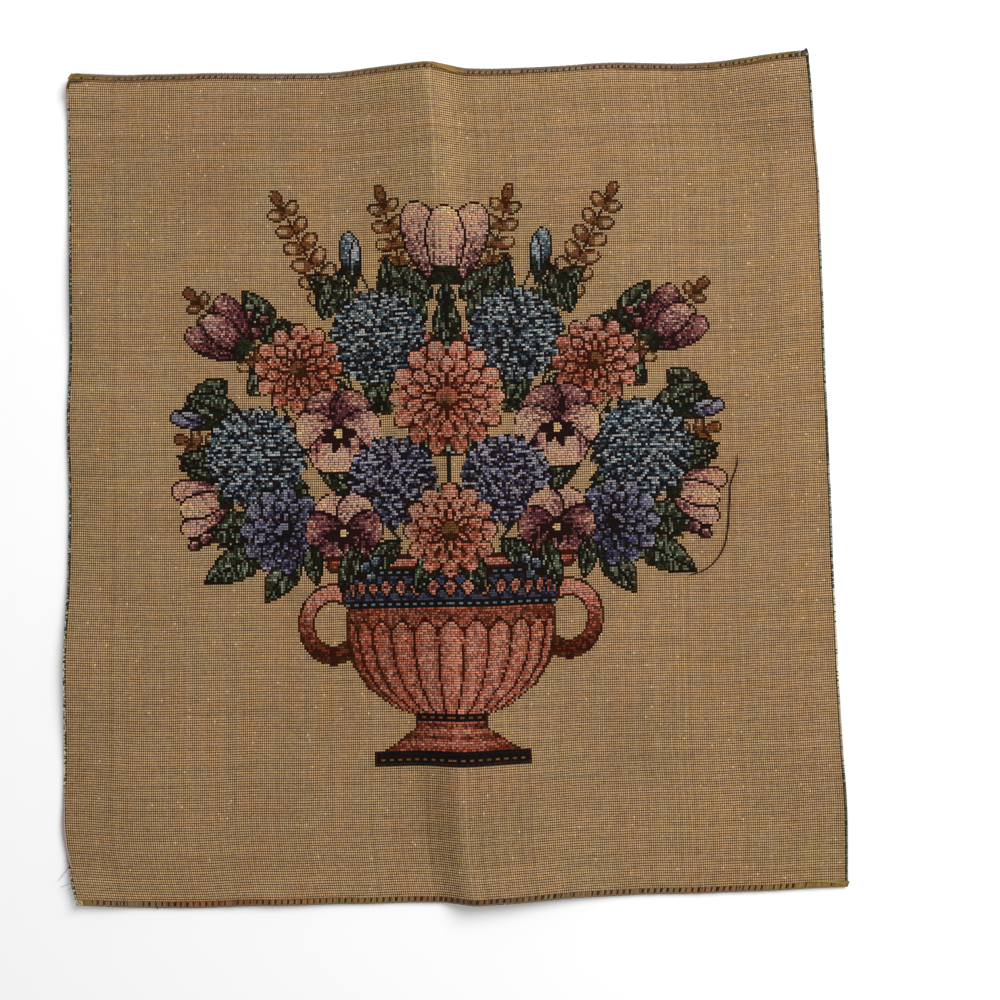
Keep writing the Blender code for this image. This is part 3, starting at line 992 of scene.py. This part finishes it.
def end_loops(side, runs):
    """Places, turns, widths and colours of the loops along the top or the bottom edge."""
    x = (np.arange(COLUMNS) + 0.5) * (WIDTH / COLUMNS) - WIDTH / 2.0
    x = x + edge_random.normal(0.0, END_SCATTER, COLUMNS)
    places = np.stack([x, np.full(COLUMNS, side * LENGTH / 2.0), np.zeros(COLUMNS)], axis=1)
    colours, dark_share = yarns_in_runs(x, runs)
    brown, tick_yarn = from_dyer(*EDGE_YARNS["brown"]), from_dyer(*EDGE_YARNS["tick"])
    colours += (brown - colours) * edge_random.uniform(0.0, YARN_MIX, (COLUMNS, 1))
    tick = (np.arange(COLUMNS) % TICK_EVERY == 0) & (edge_random.random(COLUMNS) < dark_share)
    colours[tick] = tick_yarn * edge_random.uniform(*TICK_TONES[side], (int(tick.sum()), 1))
    colours *= edge_random.uniform(*END_TONES, (COLUMNS, 1))
    turns = (0.0 if side == TOP else math.pi) - TICK_SLANT
    turns = turns + edge_random.normal(0.0, END_TURN_SCATTER, COLUMNS)
    widths = np.where(tick, TICK_FLATNESS[side], END_FLATNESS) * edge_random.uniform(*END_WIDTHS, COLUMNS)
    return places, turns, widths, colours


def side_loops(side, runs):
    """The same for the loops down the left or the right edge, two to a row, one often dark."""
    y = (np.arange(SIDE_LOOPS) / 2.0 + END_ROWS + 0.25) * ROW_PITCH - LENGTH / 2.0
    places = np.stack([np.full(SIDE_LOOPS, side * WIDTH / 2.0), y, np.zeros(SIDE_LOOPS)], axis=1)
    turns = -side * math.pi / 2.0 + edge_random.normal(0.0, SIDE_TURN_SCATTER, SIDE_LOOPS)
    widths = SIDE_FLATNESS * edge_random.uniform(*SIDE_WIDTHS, SIDE_LOOPS)
    colours, dark_share = yarns_in_runs(y, runs)
    dark_share = np.where(np.arange(SIDE_LOOPS) % 2 == 0, dark_share, dark_share * PALE_DARK_SHARE)
    dark = edge_random.random(SIDE_LOOPS) < dark_share
    colours[dark] = from_dyer(*EDGE_YARNS["black"])
    colours *= edge_random.uniform(*SIDE_TONES, (SIDE_LOOPS, 1))
    return places, turns, widths, colours


def edge_piece(name, loop, *edges):
    places, turns, widths, colours = (np.concatenate(parts) for parts in zip(*edges))
    mesh = worked_mesh(name, places, {
        "yarn_colour": colours, "turn": turns, "flatness": widths,
    }, edge_loops, {
        **loop, "Beyond": LOOP_BEYOND, "Loop Top": LOOP_TOP, "Loop Foot": LOOP_FOOT, "Yarn": edge_yarn,
    })
    return add_soft_piece(name, mesh)


end_overlock = edge_piece(
    "end_overlock", END_LOOP, end_loops(TOP, TOP_RUNS), end_loops(BOTTOM, BOTTOM_RUNS)
)
left_overlock = edge_piece("left_overlock", LEFT_LOOP, side_loops(LEFT, LEFT_RUNS))
right_overlock = edge_piece("right_overlock", RIGHT_LOOP, side_loops(RIGHT, RIGHT_RUNS))


# Single threads: looper threads along the rims and parts of the sides, a rust chain, coloured
# ends at the corners and the fold, a lilac bunch on the left, a loose dark end of wool beside
# the design and fibres frayed from the lower left. Each is a fine tube laid on the cloth.
THREAD_STEP, THREAD_WANDER = 0.004, 0.00012
SIDE_BEYOND, SIDE_SIZES = 0.0001, (0.00034, 0.00120)
CHAIN_INSET, CHAIN_SIZES = 0.0037, (0.00014, 0.00158)
OLIVE_ENDS = [
    [(-0.2284, 0.2380), (-0.2284, 0.2440), (-0.2280, 0.2478), (-0.2264, 0.2496), (-0.2240, 0.2500),
     (-0.2205, 0.2492)],
    [(-0.2272, 0.2464), (-0.2262, 0.2484), (-0.2240, 0.2490), (-0.2210, 0.2482), (-0.2170, 0.2480)],
    [(-0.0300, 0.2492), (-0.0220, 0.2490), (-0.0140, 0.2492), (-0.0060, 0.2496)],
    [(0.1900, 0.2462), (0.1990, 0.2470), (0.2060, 0.2484), (0.2140, 0.2494), (0.2215, 0.2498)],
]
OCHRE_ENDS = [
    [(-0.0060, 0.2492), (0.0000, 0.2484), (0.0060, 0.2476), (0.0110, 0.2470), (0.0135, 0.2474)],
    [(-0.0040, 0.2500), (0.0020, 0.2492), (0.0080, 0.2482), (0.0120, 0.2478)],
    [(-0.0030, 0.2482), (0.0030, 0.2473), (0.0080, 0.2465), (0.0125, 0.2464)],
    [(0.2050, -0.2462), (0.2120, -0.2464), (0.2190, -0.2470), (0.2240, -0.2476), (0.2260, -0.2482)],
]
DARK_ENDS = [
    [(0.2252, 0.2484), (0.2268, 0.2500), (0.2276, 0.2514), (0.2284, 0.2500), (0.2286, 0.2470),
     (0.2284, 0.2440)],
    [(-0.2282, 0.2452), (-0.2262, 0.2454), (-0.2230, 0.2453), (-0.2190, 0.2456)],
    [(-0.1822, -0.2480), (-0.1820, -0.2498), (-0.1816, -0.2509)],
]
CORNER_KNOT = [
    (-0.2272, -0.2470), (-0.2278, -0.2486), (-0.2270, -0.2499), (-0.2254, -0.2499),
    (-0.2248, -0.2485), (-0.2257, -0.2474), (-0.2266, -0.2480), (-0.2262, -0.2490),
]
LILAC_BUNCH = [
    [(-0.2280, -0.1880), (-0.2286, -0.1980), (-0.2290, -0.2080), (-0.2286, -0.2180), (-0.2278, -0.2260)],
    [(-0.2276, -0.1910), (-0.2280, -0.2010), (-0.2282, -0.2120), (-0.2276, -0.2220), (-0.2268, -0.2290)],
]
LOOSE_END = [
    (0.1735, 0.0070), (0.1735, 0.0010), (0.1710, -0.0050), (0.1680, -0.0110), (0.1680, -0.0180),
    (0.1670, -0.0280), (0.1665, -0.0380), (0.1645, -0.0480), (0.1590, -0.0570), (0.1510, -0.0635),
    (0.1420, -0.0650),
]
FRAYED_ENDS = [
    [(-0.2268, -0.2265), (-0.2290, -0.2296), (-0.2318, -0.2326), (-0.2362, -0.2366)],
    [(-0.2262, -0.2366), (-0.2290, -0.2374), (-0.2322, -0.2392), (-0.2358, -0.2400)],
    [(-0.2262, -0.2392), (-0.2282, -0.2404), (-0.2300, -0.2410), (-0.2322, -0.2416)],
]


def along_end(side, inset, start=-WIDTH / 2.0 + 0.0012, end=WIDTH / 2.0 - 0.0008):
    """A nearly straight path along the top or the bottom edge, or along a part of it."""
    x = np.arange(start, end, THREAD_STEP)
    y = side * (LENGTH / 2.0 - inset) + edge_random.normal(0.0, THREAD_WANDER, len(x))
    return list(zip(x.tolist(), y.tolist()))


def along_side(side, start, end):
    """The same down a part of the left or the right edge."""
    y = np.arange(start, end, THREAD_STEP)
    x = side * (WIDTH / 2.0 + SIDE_BEYOND) + edge_random.normal(0.0, THREAD_WANDER, len(y))
    return list(zip(x.tolist(), y.tolist()))


def threads(name, paths, thickness, over, colour):
    """Fine tubes along smooth paths, so high over the cloth's underside, joined as one piece."""
    curve = bpy.data.curves.new(name, "CURVE")
    curve.dimensions = "3D"
    curve.bevel_depth = thickness
    curve.bevel_resolution = 1
    curve.resolution_u = 4
    curve.use_fill_caps = True
    for path in paths:
        line = curve.splines.new("NURBS")
        line.points.add(len(path) - 1)
        for point, (x, y) in zip(line.points, path):
            point.co = (x, y, over, 1.0)
        line.use_endpoint_u = True
        line.order_u = min(4, len(path))
        line.points[0].radius = line.points[-1].radius = 0.5
    drawn = show_piece(name, curve)
    mesh = bpy.data.meshes.new_from_object(drawn.evaluated_get(bpy.context.evaluated_depsgraph_get()))
    bpy.data.objects.remove(drawn, do_unlink=True)
    tone = mesh.attributes.new("yarn_colour", "FLOAT_COLOR", "POINT")
    tones = np.tile([*from_dyer(*colour), 1.0], len(mesh.vertices))
    tone.data.foreach_set("color", tones.astype(np.float32))
    mesh.shade_smooth()
    mesh.materials.clear()
    mesh.materials.append(edge_yarn)
    return add_soft_piece(name, mesh)


single_threads = [
    threads("top_rim", [along_end(TOP, 0.0004)], 0.00050, 0.00148, (124, 112, 98)),
    threads("top_wrap", [along_end(TOP, 0.0012)], 0.00042, 0.00176, (116, 98, 76)),
    threads("bottom_rim", [along_end(BOTTOM, 0.0003)], 0.00044, 0.00148, (112, 92, 68)),
    threads("cream_side_threads", [along_side(RIGHT, -0.134, -0.078)], *SIDE_SIZES, (206, 196, 168)),
    threads("beige_side_threads", [
        along_side(LEFT, 0.196, 0.240), along_side(RIGHT, -0.176, -0.132), along_side(RIGHT, 0.098, 0.206),
    ], *SIDE_SIZES, (166, 148, 132)),
    threads("grey_side_threads", [
        along_side(LEFT, 0.138, 0.192), along_side(LEFT, -0.168, -0.098), along_side(RIGHT, -0.056, -0.004),
        along_side(RIGHT, 0.034, 0.094), along_side(RIGHT, 0.208, 0.228),
    ], *SIDE_SIZES, (152, 156, 142)),
    threads("chain_threads", [
        along_end(TOP, CHAIN_INSET, -0.226, -0.150), along_end(TOP, CHAIN_INSET, -0.004, 0.060),
        along_end(TOP, CHAIN_INSET, 0.110, 0.226), along_end(BOTTOM, CHAIN_INSET, -0.190, -0.060),
    ], *CHAIN_SIZES, (160, 106, 64)),
    threads("olive_ends", OLIVE_ENDS, 0.00048, 0.00190, (130, 103, 52)),
    threads("ochre_ends", OCHRE_ENDS, 0.00050, 0.00192, (150, 120, 52)),
    threads("dark_ends", DARK_ENDS, 0.00046, 0.00180, (52, 54, 42)),
    threads("corner_knot", [CORNER_KNOT], 0.00070, 0.00180, (158, 144, 114)),
    threads("lilac_bunch", LILAC_BUNCH, 0.00055, 0.00150, (150, 134, 132)),
    threads("loose_thread", [LOOSE_END], 0.00042, 0.00190, (40, 22, 14)),
    threads("frayed_fibres", FRAYED_ENDS, 0.00019, 0.00060, (146, 155, 158)),
]


# The studio: a pale floor, one large soft lamp above and to the right of the panel's top edge,
# and even light from all round. The camera looks almost straight down.
FLOOR_HALF, FLOOR_DROP = 3.0, 0.0003
LAMP_PLACE, LAMP_SIZE, LAMP_POWER = (1.15, 0.95, 1.25), 1.2, 41.0
SURROUND_STRENGTH = 0.54
CAMERA_X, CAMERA_Y, CAMERA_HEIGHT = 0.02899, -0.05755, 0.59672
CAMERA_TILT, CAMERA_PAN, CAMERA_ROLL = 3.893, -0.129, -1.280

floor_mesh = bpy.data.meshes.new("floor")
floor_mesh.from_pydata([
    (side * FLOOR_HALF, end * FLOOR_HALF, -FLOOR_DROP)
    for side, end in ((-1, -1), (1, -1), (1, 1), (-1, 1))
], [], [(0, 1, 2, 3)])
floor_material, floor_tree, floor_shader = new_material("pale_floor")
set_inputs(floor_tree, floor_shader, {"Base Color": (0.92, 0.92, 0.92, 1.0), "Roughness": 0.9})
floor_mesh.materials.append(floor_material)
floor = show_piece("floor", floor_mesh)

lamp_light = bpy.data.lights.new("soft_lamp", "AREA")
lamp_light.shape = "DISK"
lamp_light.size = LAMP_SIZE
lamp_light.energy = LAMP_POWER
lamp = show_piece("soft_lamp", lamp_light)
lamp.location = LAMP_PLACE
lamp.rotation_euler = (-Vector(LAMP_PLACE)).to_track_quat("-Z", "Y").to_euler()

surroundings = bpy.data.worlds.new("even_light")
surroundings.use_nodes = True
set_inputs(surroundings.node_tree, surroundings.node_tree.nodes["Background"], {
    "Color": (1.0, 1.0, 1.0, 1.0), "Strength": SURROUND_STRENGTH,
})
bpy.context.scene.world = surroundings

camera_data = bpy.data.cameras.new("camera")
camera_data.sensor_width = 36.0
camera_data.lens = 36.0
camera_data.clip_start = 0.01
camera = show_piece("camera", camera_data)
camera.location = (CAMERA_X - MIDDLE_X, CAMERA_Y - MIDDLE_Y, CAMERA_HEIGHT)
tilted = Euler((math.radians(CAMERA_TILT), 0.0, 0.0)).to_matrix()
panned = Euler((0.0, math.radians(CAMERA_PAN), 0.0)).to_matrix()
rolled = Euler((0.0, 0.0, math.radians(CAMERA_ROLL))).to_matrix()
camera.rotation_euler = (tilted @ panned @ rolled).to_euler()
bpy.context.scene.camera = camera
bpy.context.scene.view_settings.view_transform = "Standard"
